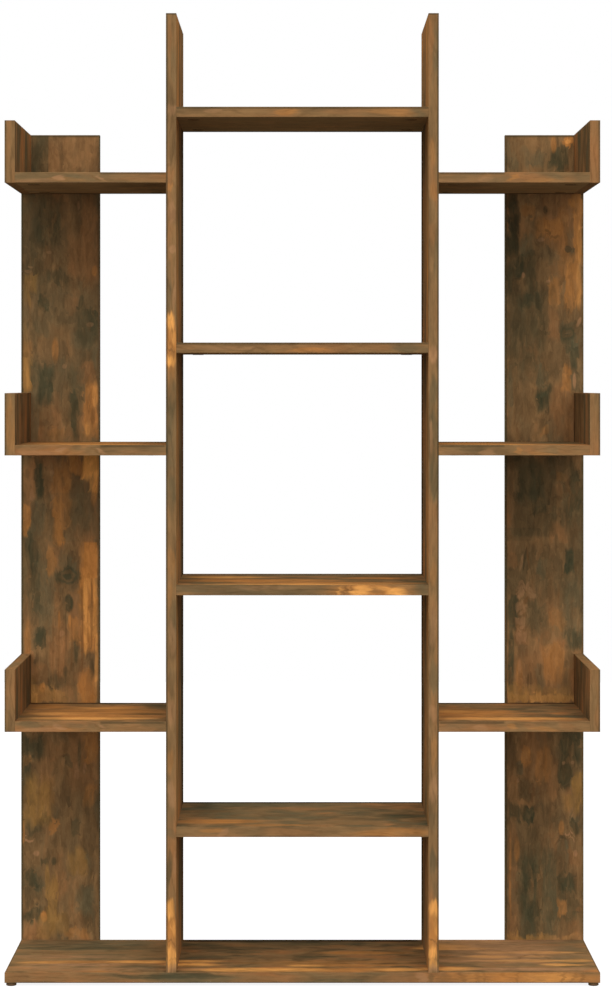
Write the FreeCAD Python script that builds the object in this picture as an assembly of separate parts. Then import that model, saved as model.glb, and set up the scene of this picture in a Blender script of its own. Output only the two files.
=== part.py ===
import FreeCAD, Part
import math
import os

# An open book cabinet of coated chipboard: a centre stack of shelves between two
# uprights, a column of side shelves on each flank that ends in low upstands, one
# base panel under it all, and two broad posts behind the side shelves.
# The origin is on the floor, under the middle of the cabinet's box. +X is to the
# right as the front is seen, +Y runs to the back and +Z is up.

# Driving dimensions, in millimetres. Every board has the one thickness.
overall_width = 860.0
overall_height = 1405.0
shelf_depth = 240.0
board_thickness = 15.0
centre_bay_width = 364.0
upstand_height = 90.0
post_width = 120.0

# Tops of the shelves above the base, as shares of the uprights' height.
centre_top_shares = (0.152, 0.404, 0.6567, 0.9025)
side_top_shares = (0.2616, 0.5498, 0.8342)

# Edge band: a strip glued on each board edge that shows, with its arrises eased.
band_thickness = 1.0
band_arris_radius = 0.6
band_arris_limit_share = 0.9

# Glide feet, each nailed up into the base through a recess.
foot_height = 5.0
foot_diameter = 15.0
foot_inset = 1.5
foot_edge = 0.8
foot_recess_diameter = 7.0
foot_recess_depth = 2.0
nail_diameter = 2.0
nail_head_diameter = 5.0
nail_head_height = 1.2
nail_point_length = 2.5
nail_cover = 5.0

# Clearances: beside a fitting in its bore, and beyond the end of a fitting.
fit_clearance = 0.1
bore_end_gap = 0.5
overrun = 1.0

# Rows of fittings across a board's depth, measured from its front and back edges.
fixing_inset = 37.0
fixing_pitch = 32.0

# Cam locks in the shelves' undersides, with the cap that hides each one.
cam_diameter = 15.0
cam_end_distance = 24.0
cam_cover = 2.6
cam_recess_length = 6.5
cam_recess_width = 1.2
cam_recess_depth = 1.8
cap_lip = 1.0
cap_thickness = 0.8
cap_edge = 0.4

# Cam bolts, screwed into the face of an upright or an upstand.
bolt_cover = 4.5
bolt_thread_diameter = 6.0
bolt_thread_core_diameter = 4.6
bolt_thread_pitch = 1.75
bolt_collar_diameter = 7.6
bolt_collar_length = 2.0
bolt_shank_diameter = 6.0
bolt_neck_diameter = 3.2
bolt_head_diameter = 5.2
bolt_head_length = 3.0
bolt_bore_diameter = 8.0

# Wooden dowels beside the cams and under the uprights.
dowel_diameter = 8.0
dowel_chamfer = 1.0
dowel_reach = 20.0
dowel_cover = 4.5

# Screws up through the base into the ends of the uprights.
base_screw_reach = 35.0
base_screw_diameter = 7.0
base_screw_core_diameter = 5.0
base_screw_pitch = 3.0
base_screw_point = 3.0
base_screw_head_diameter = 10.0
base_screw_head_height = 4.0
base_screw_socket_width = 4.0
base_screw_socket_depth = 3.0

# Countersunk screws from behind, through the posts into the boards in front.
post_screw_reach = 25.0
post_screw_diameter = 4.0
post_screw_core_diameter = 2.8
post_screw_pitch = 1.8
post_screw_point = 4.0
post_screw_head_diameter = 8.0
post_screw_head_height = 2.4
post_screw_slot_length = 4.4
post_screw_slot_width = 0.9
post_screw_slot_depth = 1.5
post_screw_edge_distance = 25.0
post_screw_cam_gap = 8.0

# Heights and depths that follow from the sizes above.
half_board = board_thickness / 2
base_bottom = foot_height
base_top = base_bottom + board_thickness
front_y = -(shelf_depth + board_thickness) / 2
boards_back_y = front_y + shelf_depth
back_y = boards_back_y + board_thickness
upright_inner_x = centre_bay_width / 2
upright_outer_x = upright_inner_x + board_thickness
outer_x = overall_width / 2
side_end_x = outer_x - board_thickness
upright_height = overall_height - base_top

Vector = FreeCAD.Vector
UP = Vector(0, 0, 1)
DOWN = Vector(0, 0, -1)
FORWARD = Vector(0, -1, 0)


def shelf_bottoms(top_shares):
    """The undersides of a column of shelves, from the lowest to the highest."""
    return [base_top + upright_height * share - board_thickness for share in top_shares]


centre_bottoms = shelf_bottoms(centre_top_shares)
side_bottoms = shelf_bottoms(side_top_shares)
upstand_top = side_bottoms[-1] + upstand_height

# Rows of fittings, as Y places.
cam_rows = (front_y + fixing_inset, boards_back_y - fixing_inset)
dowel_rows = (cam_rows[0] + fixing_pitch, cam_rows[1] - fixing_pitch)

# What the model is made of: the chipboard cores and the band strips of each board,
# the cuts that go through both, and the fittings by node.
cores = {}
bands = {}
cuts = {}
fittings = {}


def block(spans):
    """A block between the low and high ends of its X, Y and Z spans."""
    low = Vector(*[span[0] for span in spans])
    sizes = [span[1] - span[0] for span in spans]
    return Part.makeBox(*sizes, low)


def turned(profile, origin, direction):
    """A solid of revolution. The profile's points are (radius, place along the axis)."""
    points = [Vector(radius, 0, along) for radius, along in profile]
    face = Part.Face(Part.makePolygon(points + points[:1]))
    return placed(face.revolve(Vector(0, 0, 0), UP, 360), origin, direction)


def placed(shape, origin, direction):
    """The shape, made along +Z from zero, moved to start at origin and run along direction."""
    moved = shape.copy()
    moved.Placement = FreeCAD.Placement(origin, FreeCAD.Rotation(UP, direction))
    return moved


def bore(origin, direction, diameter, depth):
    """A cutter for a round hole, bored into a board from the point origin on its surface."""
    start = origin - direction * overrun
    return Part.makeCylinder(diameter / 2 + fit_clearance, depth + overrun, start, direction)


def crossed_bars(length, width, depth):
    """Two flat bars crossed at right angles, standing on the origin, as a driver's bit has."""
    long_bar = Part.makeBox(length, width, depth, Vector(-length / 2, -width / 2, 0))
    cross_bar = Part.makeBox(width, length, depth, Vector(-width / 2, -length / 2, 0))
    return long_bar.fuse(cross_bar).removeSplitter()


def thread(radius, core_radius, pitch, start, end):
    """Profile points of saw-tooth turns from start to end, each from the core out to the crest."""
    turns = max(1, round((end - start) / pitch))
    step = (end - start) / turns
    points = []
    for turn in range(turns):
        points.append((core_radius, start + turn * step))
        points.append((radius, start + (turn + 0.5) * step))
    points.append((core_radius, end))
    return points


# The axis that a board edge faces along, and whether it is the low or the high end.
EDGE_SIDES = {
    "left": (0, 0), "right": (0, 1),
    "front": (1, 0), "back": (1, 1),
    "bottom": (2, 0), "top": (2, 1),
}


def band_strip(spans, thin_axis, side):
    """One strip of edge band that fills spans, with its two long outer arrises rounded."""
    out_axis, end = EDGE_SIDES[side]
    run_axis = 3 - thin_axis - out_axis
    units = (Vector(1, 0, 0), Vector(0, 1, 0), Vector(0, 0, 1))
    corner = Vector(*[span[0] for span in spans])
    out = units[out_axis]
    if end == 0:
        corner = corner + out * band_thickness
        out = -out
    across = units[thin_axis]
    width = spans[thin_axis][1] - spans[thin_axis][0]
    radius = min(band_arris_radius, band_thickness * band_arris_limit_share)
    bend = radius * (1 - math.sqrt(0.5))

    def point(along_width, outwards):
        return corner + across * along_width + out * outwards

    edges = [
        Part.LineSegment(point(0, 0), point(width, 0)),
        Part.LineSegment(point(width, 0), point(width, band_thickness - radius)),
        Part.Arc(
            point(width, band_thickness - radius),
            point(width - bend, band_thickness - bend),
            point(width - radius, band_thickness),
        ),
        Part.LineSegment(point(width - radius, band_thickness), point(radius, band_thickness)),
        Part.Arc(
            point(radius, band_thickness),
            point(bend, band_thickness - bend),
            point(0, band_thickness - radius),
        ),
        Part.LineSegment(point(0, band_thickness - radius), point(0, 0)),
    ]
    face = Part.Face(Part.Wire([edge.toShape() for edge in edges]))
    run = units[run_axis] * (spans[run_axis][1] - spans[run_axis][0])
    return face.extrude(run)


def board(name, spans, thin_axis, long_sides, short_sides=()):
    """A banded board. The long sides' strips run full length, and the short ones between them."""
    core = [list(span) for span in spans]
    for side in long_sides + short_sides:
        axis, end = EDGE_SIDES[side]
        inwards = 1 if end == 0 else -1
        core[axis][end] += inwards * band_thickness
    strips = []
    for side in long_sides + short_sides:
        axis, end = EDGE_SIDES[side]
        strip = [list(span) for span in (spans if side in long_sides else core)]
        strip[thin_axis] = list(spans[thin_axis])
        strip[axis] = sorted((spans[axis][end], core[axis][end]))
        strips.append(band_strip(strip, thin_axis, side))
    cores[name] = block(core)
    bands[name] = strips
    cuts[name] = []


def fit(node, shape):
    """Adds one fitting to its node."""
    fittings.setdefault(node, []).append(shape)


# Cam joint: a bolt stands in the face of one board, and a cam in the end of the other
# board turns behind the bolt's head and draws the two together.
cam_bore_depth = board_thickness - cam_cover
cam_height = cam_bore_depth - bore_end_gap
face_bore_depth = board_thickness - bolt_cover
bolt_neck_start = cam_end_distance - cam_diameter / 2 - bore_end_gap
bolt_head_start = cam_end_distance - bolt_head_length / 2


def cam_bolt(origin, direction):
    """A bolt whose thread lies behind origin, and whose head lies at the cam's centre."""
    shank_radius = bolt_shank_diameter / 2
    collar_radius = bolt_collar_diameter / 2
    neck_radius = bolt_neck_diameter / 2
    head_radius = bolt_head_diameter / 2
    thread_end = -face_bore_depth + bore_end_gap
    head_end = bolt_head_start + bolt_head_length
    turns = thread(
        bolt_thread_diameter / 2, bolt_thread_core_diameter / 2, bolt_thread_pitch, thread_end, 0
    )
    profile = [(0, thread_end)] + turns + [
        (collar_radius, 0), (collar_radius, bolt_collar_length),
        (shank_radius, bolt_collar_length), (shank_radius, bolt_neck_start),
        (neck_radius, bolt_neck_start), (neck_radius, bolt_head_start),
        (head_radius, bolt_head_start), (head_radius, head_end), (0, head_end),
    ]
    return turned(profile, origin, direction)


def cam_lock(towards_x):
    """A cam, standing on the origin, that holds a bolt which comes in along X."""
    bolt_axis = Vector(0, 0, half_board)
    bolt_way = Vector(towards_x, 0, 0)
    pocket_start = bolt_axis - bolt_way * (bolt_head_length / 2 + bore_end_gap)
    pocket_radius = bolt_head_diameter / 2 + fit_clearance
    lock = Part.makeCylinder(cam_diameter / 2, cam_height)
    neck_slot = bore(bolt_axis, bolt_way, bolt_neck_diameter, cam_diameter)
    pocket = Part.makeCylinder(
        pocket_radius, bolt_head_length + 2 * bore_end_gap, pocket_start, bolt_way
    )
    mouth = Part.makeCylinder(pocket_radius, cam_diameter, bolt_axis, FORWARD)
    recess = crossed_bars(cam_recess_length, cam_recess_width, cam_recess_depth)
    return lock.cut(neck_slot.fuse([pocket, mouth, recess]))


def cam_cap():
    """A cap under a cam: a thin disc below the origin, with a key that grips the cam's recess."""
    radius = cam_diameter / 2 + cap_lip
    disc = turned(
        [(0, 0), (radius, 0), (radius, cap_thickness - cap_edge),
         (radius - cap_edge, cap_thickness), (0, cap_thickness)],
        Vector(0, 0, 0), DOWN,
    )
    key_length = cam_recess_length - 2 * fit_clearance
    key_width = cam_recess_width - 2 * fit_clearance
    key = crossed_bars(key_length, key_width, cam_recess_depth - bore_end_gap)
    return disc.fuse(key).removeSplitter()


def dowel(origin, direction):
    """A round wooden dowel across a joint, from a bored face behind origin into a bored end."""
    radius = dowel_diameter / 2
    start = dowel_cover + bore_end_gap - board_thickness
    profile = [
        (0, start), (radius - dowel_chamfer, start), (radius, start + dowel_chamfer),
        (radius, dowel_reach - dowel_chamfer), (radius - dowel_chamfer, dowel_reach),
        (0, dowel_reach),
    ]
    return turned(profile, origin, direction)


def dowel_joint(face_board, end_board, origin, direction):
    """A dowel and its two bores. The end board lies on direction's side of origin."""
    fit("dowels", dowel(origin, direction))
    face_depth = board_thickness - dowel_cover
    cuts[face_board].append(bore(origin, -direction, dowel_diameter, face_depth))
    cuts[end_board].append(bore(origin, direction, dowel_diameter, dowel_reach + bore_end_gap))


CAM_LOCKS = {side: cam_lock(side) for side in (-1, 1)}
CAM_CAP = cam_cap()


def shelf_end_joint(face_board, shelf, face_x, side, bottom):
    """Cams and dowels that hold one end of a shelf to a board's face at face_x.

    The shelf lies on the side (-1 or 1) of that face, with its underside at bottom."""
    direction = Vector(side, 0, 0)
    axis_z = bottom + half_board
    for row in cam_rows:
        origin = Vector(face_x, row, axis_z)
        cam_foot = Vector(face_x + side * cam_end_distance, row, bottom)
        fit("cam_bolts", cam_bolt(origin, direction))
        fit("cam_locks", placed(CAM_LOCKS[-side], cam_foot, UP))
        fit("cam_caps", placed(CAM_CAP, cam_foot, UP))
        cuts[face_board].append(bore(origin, -direction, bolt_thread_diameter, face_bore_depth))
        cuts[shelf].append(bore(origin, direction, bolt_bore_diameter, cam_end_distance))
        cuts[shelf].append(bore(cam_foot, UP, cam_diameter, cam_bore_depth))
    for row in dowel_rows:
        dowel_joint(face_board, shelf, Vector(face_x, row, axis_z), direction)


SOCKET_SIDES = 6


def base_screw():
    """A screw with a flat socket head, made up from its head's face at the origin."""
    radius = base_screw_diameter / 2
    core_radius = base_screw_core_diameter / 2
    head_radius = base_screw_head_diameter / 2
    end = board_thickness + base_screw_reach
    turns = thread(radius, core_radius, base_screw_pitch, board_thickness, end - base_screw_point)
    profile = [
        (0, 0), (head_radius, 0), (head_radius, base_screw_head_height),
        (radius, base_screw_head_height), (radius, board_thickness),
    ] + turns + [(0, end)]
    corner_radius = base_screw_socket_width / 2 / math.cos(math.pi / SOCKET_SIDES)
    angles = [2 * math.pi * corner / SOCKET_SIDES for corner in range(SOCKET_SIDES + 1)]
    corners = [
        Vector(corner_radius * math.cos(angle), corner_radius * math.sin(angle), 0)
        for angle in angles
    ]
    socket = Part.Face(Part.makePolygon(corners)).extrude(UP * base_screw_socket_depth)
    return turned(profile, Vector(0, 0, 0), UP).cut(socket)


def post_screw():
    """A countersunk screw with a crossed slot, made from its head's face at the origin."""
    radius = post_screw_diameter / 2
    core_radius = post_screw_core_diameter / 2
    end = board_thickness + post_screw_reach
    turns = thread(radius, core_radius, post_screw_pitch, board_thickness, end - post_screw_point)
    profile = [
        (0, 0), (post_screw_head_diameter / 2, 0), (radius, post_screw_head_height),
        (radius, board_thickness),
    ] + turns + [(0, end)]
    slot = crossed_bars(post_screw_slot_length, post_screw_slot_width, post_screw_slot_depth)
    return turned(profile, Vector(0, 0, 0), UP).cut(slot)


BASE_SCREW = base_screw()
POST_SCREW = post_screw()


def upright_foot_joint(upright, centre_x):
    """Screws and dowels that hold an upright's lower end to the base panel."""
    for row in cam_rows:
        head = Vector(centre_x, row, base_bottom)
        seam = Vector(centre_x, row, base_top)
        fit("base_screws", placed(BASE_SCREW, head, UP))
        cuts["base_panel"].append(bore(head, UP, base_screw_diameter, board_thickness + overrun))
        cuts["base_panel"].append(
            bore(head, UP, base_screw_head_diameter, base_screw_head_height)
        )
        cuts[upright].append(
            bore(seam, UP, base_screw_diameter, base_screw_reach + bore_end_gap)
        )
    for row in dowel_rows:
        dowel_joint("base_panel", upright, Vector(centre_x, row, base_top), UP)


def post_joint(post, board_name, side, axis_z):
    """Two screws through a post into the back edge of the board in front of it."""
    inner_x = outer_x - post_width + post_screw_edge_distance
    beside_cam_x = side_end_x - cam_end_distance - cam_diameter / 2 - post_screw_cam_gap
    head_radius = post_screw_head_diameter / 2 + fit_clearance
    shank_radius = post_screw_diameter / 2 + fit_clearance
    sink = [
        (0, -overrun), (head_radius, -overrun), (head_radius, 0),
        (shank_radius, post_screw_head_height), (0, post_screw_head_height),
    ]
    for screw_x in (inner_x, beside_cam_x):
        head = Vector(side * screw_x, back_y, axis_z)
        seam = Vector(side * screw_x, boards_back_y, axis_z)
        fit("post_screws", placed(POST_SCREW, head, FORWARD))
        cuts[post].append(bore(head, FORWARD, post_screw_diameter, board_thickness + overrun))
        cuts[post].append(turned(sink, head, FORWARD))
        cuts[board_name].append(
            bore(seam, FORWARD, post_screw_diameter, post_screw_reach + bore_end_gap)
        )


def glide_foot(name, centre):
    """A plastic glide under a corner of the base, and the nail that holds it."""
    radius = foot_diameter / 2
    nail_radius = nail_diameter / 2
    hole_radius = nail_radius + fit_clearance
    recess_radius = foot_recess_diameter / 2
    fit(name, turned(
        [(recess_radius, 0), (radius - foot_edge, 0), (radius, foot_edge), (radius, foot_height),
         (hole_radius, foot_height), (hole_radius, foot_recess_depth),
         (recess_radius, foot_recess_depth)],
        centre, UP,
    ))
    nail_top = base_top - nail_cover
    head_radius = nail_head_diameter / 2
    fit("foot_nails", turned(
        [(0, foot_recess_depth - nail_head_height), (head_radius, foot_recess_depth - nail_head_height),
         (head_radius, foot_recess_depth), (nail_radius, foot_recess_depth),
         (nail_radius, nail_top - nail_point_length), (0, nail_top)],
        centre, UP,
    ))
    board_face = centre + UP * foot_height
    cuts["base_panel"].append(
        bore(board_face, UP, nail_diameter, nail_top - base_bottom + bore_end_gap)
    )


# The base panel, banded on all four edges.
depth_span = (front_y, boards_back_y)
board(
    "base_panel", [(-outer_x, outer_x), depth_span, (base_bottom, base_top)],
    2, ("front", "back"), ("left", "right"),
)

# The two uprights, which stand on the base and carry every shelf.
SIDE_NAMES = {-1: "left", 1: "right"}
for side, side_name in SIDE_NAMES.items():
    x_span = sorted((side * upright_inner_x, side * upright_outer_x))
    upright = "upright_" + side_name
    board(
        upright, [x_span, depth_span, (base_top, overall_height)],
        0, ("front", "back"), ("top",),
    )
    upright_foot_joint(upright, side * (upright_inner_x + half_board))

# The centre shelves between the uprights, numbered from the lowest.
for level, bottom in enumerate(centre_bottoms, 1):
    shelf = "centre_shelf_%d" % level
    x_span = (-upright_inner_x, upright_inner_x)
    board(shelf, [x_span, depth_span, (bottom, bottom + board_thickness)], 2, ("front", "back"))
    for side, side_name in SIDE_NAMES.items():
        shelf_end_joint("upright_" + side_name, shelf, side * upright_inner_x, -side, bottom)

# The posts behind the side shelves, screwed to the base and to every side shelf.
for side, side_name in SIDE_NAMES.items():
    x_span = sorted((side * (outer_x - post_width), side * outer_x))
    post = "back_post_" + side_name
    board(
        post, [x_span, (boards_back_y, back_y), (base_bottom, upstand_top)],
        1, ("left", "right"), ("bottom", "top"),
    )
    post_joint(post, "base_panel", side, base_bottom + half_board)

# The side shelves with the upstand that closes each one's outer end.
for side, side_name in SIDE_NAMES.items():
    for level, bottom in enumerate(side_bottoms, 1):
        suffix = "%s_%d" % (side_name, level)
        shelf = "side_shelf_" + suffix
        upstand = "upstand_" + suffix
        shelf_span = sorted((side * upright_outer_x, side * side_end_x))
        upstand_span = sorted((side * side_end_x, side * outer_x))
        board(
            shelf, [shelf_span, depth_span, (bottom, bottom + board_thickness)],
            2, ("front", "back"),
        )
        board(
            upstand, [upstand_span, depth_span, (bottom, bottom + upstand_height)],
            0, ("bottom", "top"), ("front", "back"),
        )
        shelf_end_joint("upright_" + side_name, shelf, side * upright_outer_x, side, bottom)
        shelf_end_joint(upstand, shelf, side * side_end_x, -side, bottom)
        post_joint("back_post_" + side_name, shelf, side, bottom + half_board)

# The feet at the base's four corners.
foot_centre_x = outer_x - foot_inset - foot_diameter / 2
FOOT_ROWS = {
    "front": front_y + foot_inset + foot_diameter / 2,
    "back": boards_back_y - foot_inset - foot_diameter / 2,
}
for row_name, foot_y in FOOT_ROWS.items():
    for side, side_name in SIDE_NAMES.items():
        glide_foot("foot_%s_%s" % (row_name, side_name), Vector(side * foot_centre_x, foot_y, 0))


def save(node, solids):
    """Writes a node's solids as one file."""
    shape = solids[0] if len(solids) == 1 else Part.makeCompound(solids)
    shape.exportStep("parts/%s.step" % node)


def bored(shape, cutters):
    """The shape less its cutters, as a list of solids."""
    if not cutters:
        return [shape]
    return shape.cut(cutters).Solids


os.makedirs("parts", exist_ok=True)
for name in cores:
    save(name, bored(cores[name], cuts[name]))
    strips = [solid for strip in bands[name] for solid in bored(strip, cuts[name])]
    save(name + "_edge_band", strips)
for node, solids in fittings.items():
    save(node, [solid for shape in solids for solid in shape.Solids])
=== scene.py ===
"""Looks of the smoked oak book cabinet, section by section in the order it goes together."""

import bpy
import numpy as np
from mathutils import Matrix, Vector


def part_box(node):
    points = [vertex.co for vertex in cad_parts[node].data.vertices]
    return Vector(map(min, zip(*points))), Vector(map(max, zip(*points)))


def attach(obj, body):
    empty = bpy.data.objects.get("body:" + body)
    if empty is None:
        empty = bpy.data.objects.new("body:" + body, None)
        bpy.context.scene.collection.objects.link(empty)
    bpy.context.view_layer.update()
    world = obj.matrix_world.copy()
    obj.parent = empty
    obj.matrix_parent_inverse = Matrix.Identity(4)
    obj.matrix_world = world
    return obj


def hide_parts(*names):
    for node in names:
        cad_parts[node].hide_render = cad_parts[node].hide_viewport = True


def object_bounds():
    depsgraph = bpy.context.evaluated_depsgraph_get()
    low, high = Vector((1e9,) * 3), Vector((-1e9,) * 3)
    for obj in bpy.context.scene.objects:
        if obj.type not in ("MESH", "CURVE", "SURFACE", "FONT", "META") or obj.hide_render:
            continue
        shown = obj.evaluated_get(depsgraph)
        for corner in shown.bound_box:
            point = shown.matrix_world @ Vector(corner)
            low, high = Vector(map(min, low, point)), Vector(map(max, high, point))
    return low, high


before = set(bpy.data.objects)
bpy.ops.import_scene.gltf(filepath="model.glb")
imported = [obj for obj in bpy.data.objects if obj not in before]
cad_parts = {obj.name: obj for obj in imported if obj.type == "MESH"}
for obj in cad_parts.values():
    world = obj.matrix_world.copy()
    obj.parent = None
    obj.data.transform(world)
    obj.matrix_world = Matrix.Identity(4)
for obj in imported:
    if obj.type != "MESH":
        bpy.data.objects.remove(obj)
cad_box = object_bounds()

# Base panel. One full-width chipboard panel with smoked oak printed paper on both faces and a
# printed strip glued round its edges. It lies on four glides, and all the uprights stand on it.


class Signal:
    """Wraps one output of a material's nodes; sums and products on it add Math nodes beside it."""

    def __init__(self, socket):
        self.socket = socket

    def add(self, kind, settings=None, values=None, output=0):
        """A new node of that kind: its settings come first, then its sockets' values or links."""
        tree = self.socket.id_data
        node = tree.nodes.new("ShaderNode" + kind)
        for name, value in (settings or {}).items():
            if name == "stops":
                while len(node.color_ramp.elements) < len(value):
                    node.color_ramp.elements.new(0.5)
                for element, (position, colour) in zip(node.color_ramp.elements, value):
                    element.position = position
                    element.color = colour
            else:
                setattr(node, name, value)
        for name, value in (values or {}).items():
            if isinstance(value, Signal):
                tree.links.new(value.socket, node.inputs[name])
            else:
                node.inputs[name].default_value = value
        return Signal(node.outputs[output])

    def math(self, operation, *terms):
        """A Math node on those terms."""
        return self.add("Math", {"operation": operation}, dict(enumerate(terms)))

    def vector(self, operation, *terms, output=0):
        """A Vector Math node on those terms."""
        return self.add("VectorMath", {"operation": operation}, dict(enumerate(terms)), output)

    def __add__(self, other):
        return self.math("ADD", self, other)

    def __sub__(self, other):
        return self.math("SUBTRACT", self, other)

    def __rsub__(self, other):
        return self.math("SUBTRACT", other, self)

    def __mul__(self, other):
        return self.math("MULTIPLY", self, other)

    __radd__ = __add__
    __rmul__ = __mul__

    def parts(self):
        """The three numbers of this vector."""
        node = self.add("SeparateXYZ", {}, {0: self}).socket.node
        return [Signal(socket) for socket in node.outputs]

    def length(self):
        """The length of this vector."""
        return self.vector("LENGTH", self, output="Value")

    def step(self, low, high, to=1.0, start=0.0):
        """Eases from start at low to that value at high, level outside."""
        settings = {"interpolation_type": "SMOOTHSTEP"}
        values = {"Value": self, "From Min": low, "From Max": high, "To Min": start, "To Max": to}
        return self.add("MapRange", settings, values)

    def ramp(self, *stops):
        """The colour at this value between those stops."""
        return self.add("ValToRGB", {"stops": stops}, {0: self})

    def tinted(self, factor, colour):
        """This colour moved towards another by the factor."""
        return self.add("Mix", {"data_type": "RGBA"}, {0: factor, 6: self, 7: colour}, 2)

    def noise(self, cycles, seed, octaves=2.0, output=0):
        """Fractal noise at this place, with its cycles per metre along, across and through."""
        moved = self.vector("MULTIPLY_ADD", self, cycles, (seed, 0.37 * seed, 0.71 * seed))
        return self.add("TexNoise", {}, {"Vector": moved, "Scale": 1.0, "Detail": octaves}, output)

    def bump(self, strength, distance):
        """The surface's slope where this value is its height."""
        return self.add("Bump", {}, {"Strength": strength, "Distance": distance, "Height": self})

    def feeds(self, shader, name):
        """Leads this value into one of the shader's sockets."""
        self.socket.id_data.links.new(self.socket, shader.inputs[name])


def paint(red, green, blue):
    """A colour written in display values from 0 to 255, as the linear colour that a socket takes."""
    display = np.array([red, green, blue]) / 255
    linear = np.where(display <= 0.04045, display / 12.92, ((display + 0.055) / 1.055) ** 2.4)
    return (*(float(v) for v in linear), 1.0)


def new_finish(name):
    """An empty material: the material, its surface shader and its Object coordinates."""
    material = bpy.data.materials.new(name)
    material.use_nodes = True
    tree = material.node_tree
    shader = tree.nodes["Principled BSDF"]
    place = Signal(tree.nodes.new("ShaderNodeTexCoord").outputs["Object"])
    return material, shader, place


def wear(node, material):
    """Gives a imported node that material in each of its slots."""
    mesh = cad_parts[node].data
    if not mesh.materials:
        mesh.materials.append(material)
    for slot in range(len(mesh.materials)):
        mesh.materials[slot] = material


# The print's inks, in the order in which marks of that ink lie over one another. Ink serves only for
# painted shade; some marks in other inks are painted shade or painted light too, as the tables say.
TINTS = {
    "moss": paint(130, 110, 76),
    "walnut": paint(134, 102, 66),
    "umber": paint(106, 82, 54),
    "rust": paint(146, 101, 62),
    "smoke": paint(98, 87, 62),
    "soot": paint(66, 65, 46),
    "amber": paint(181, 120, 62),
    "honey": paint(226, 158, 84),
    "ochre": paint(150, 111, 60),
    "rose": paint(166, 122, 84),
    "line": paint(112, 78, 46),
    "dot": paint(66, 58, 40),
    "ink": paint(32, 25, 17),
}
GROUND = [
    (0.0, TINTS["soot"]),
    (0.30, TINTS["smoke"]),
    (0.45, TINTS["umber"]),
    (0.58, TINTS["walnut"]),
    (0.74, TINTS["rust"]),
    (1.0, TINTS["amber"]),
]
# Painted light: downward faces of the boards that lie flat are tinted towards this paler, greyer brown,
# to take out the warm cast of the bounce light under them.
UNDERSIDE_PAINTED_LIGHT = paint(160, 127, 83)

# Which of the part's axes run along, across and through the grain, and which of these three takes
# the place of the first on a board's end faces.
GRAIN_AXES = {
    "base": ((0, 1, 2), 1),
    "front": ((0, 2, 1), 2),
    "upright": ((2, 1, 0), 1),
    "upright_front": ((2, 0, 1), 2),
    "post": ((2, 0, 1), 1),
}

# The print's layers: cycles per metre along, across and through the grain, the step from the
# board's own seed, and the octaves. The boards that lie flat and the posts have a few of their own.
LAYERS = {
    "drift": ((17.0, 42.0, 42.0), 0.0, 3.0),
    "comb": ((7.0, 300.0, 300.0), 3.1, 2.0),
    "broad": ((8.0, 23.0, 23.0), 5.3, 2.0),
    "middle": ((16.0, 90.0, 90.0), 7.7, 3.0),
    "fine": ((22.0, 520.0, 520.0), 9.9, 3.0),
    "cast": ((6.0, 38.0, 38.0), 12.5, 2.0),
    "pores": ((75.0, 1500.0, 1500.0), 15.2, 1.0),
    "mottle": ((32.0, 120.0, 120.0), 18.1, 3.0),
    "fleck": ((42.0, 115.0, 115.0), 21.4, 3.0),
}
OWN_CYCLES = {
    "base": {"comb": (14.0, 300.0, 300.0), "broad": (16.0, 23.0, 23.0),
             "middle": (32.0, 37.8, 37.8), "fine": (44.0, 218.4, 218.4)},
    "post": {"middle": (34.0, 80.0, 80.0)},
}
DEPTHS = {"comb": 0.020, "rings": 0.16, "pores": 0.20, "fine": 0.36, "fleck": 0.06}
POST_DEPTHS = {"comb": 0.006, "rings": 0.10, "pores": 0.12, "fine": 0.12, "fleck": 0.13}
DRIFT_REACH = (0.034, 0.014, 0.014)
CALM_SHARE = (0.3, 0.3, 0.3)
CELL_CYCLES = (70.0, 130.0, 130.0)
CELL_REACH = (0.009, 0.0045, 0.0045)
RINGS_PER_METRE = 95.0
FULL_TURN = 6.2832
MIDDLE_GREY = (0.5, 0.5, 0.5)
SMALL_MARK = 6
SOFT_MARK = 20.0
BOXY_SOFTNESS = 1.3
MILLIMETRE = 0.001


def off_centre(place, across, along, half_across, half_along, turn=0):
    """A place as seen from a mark's middle, in halves of its length and width:
    ((along - middle along) / half along, (across - middle across) / half across),
    both first turned by the mark's angle in degrees, if it has one."""
    middle = np.array([along, across]) * MILLIMETRE
    half = np.array([half_along, half_across]) * MILLIMETRE
    if not turn:
        return place.vector("MULTIPLY_ADD", place, (*(1 / half), 0.0), (*(-middle / half), 0.0))
    cosine, sine = np.cos(np.radians(turn)), np.sin(np.radians(turn))
    ways = np.array([[cosine, sine], [-sine, cosine]]) / half[:, None]
    reaches = [place.vector("DOT_PRODUCT", place, (*way, 0.0), output="Value") - start
               for way, start in zip(ways, ways @ middle)]
    return place.add("CombineXYZ", {}, dict(enumerate(reaches)))


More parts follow.
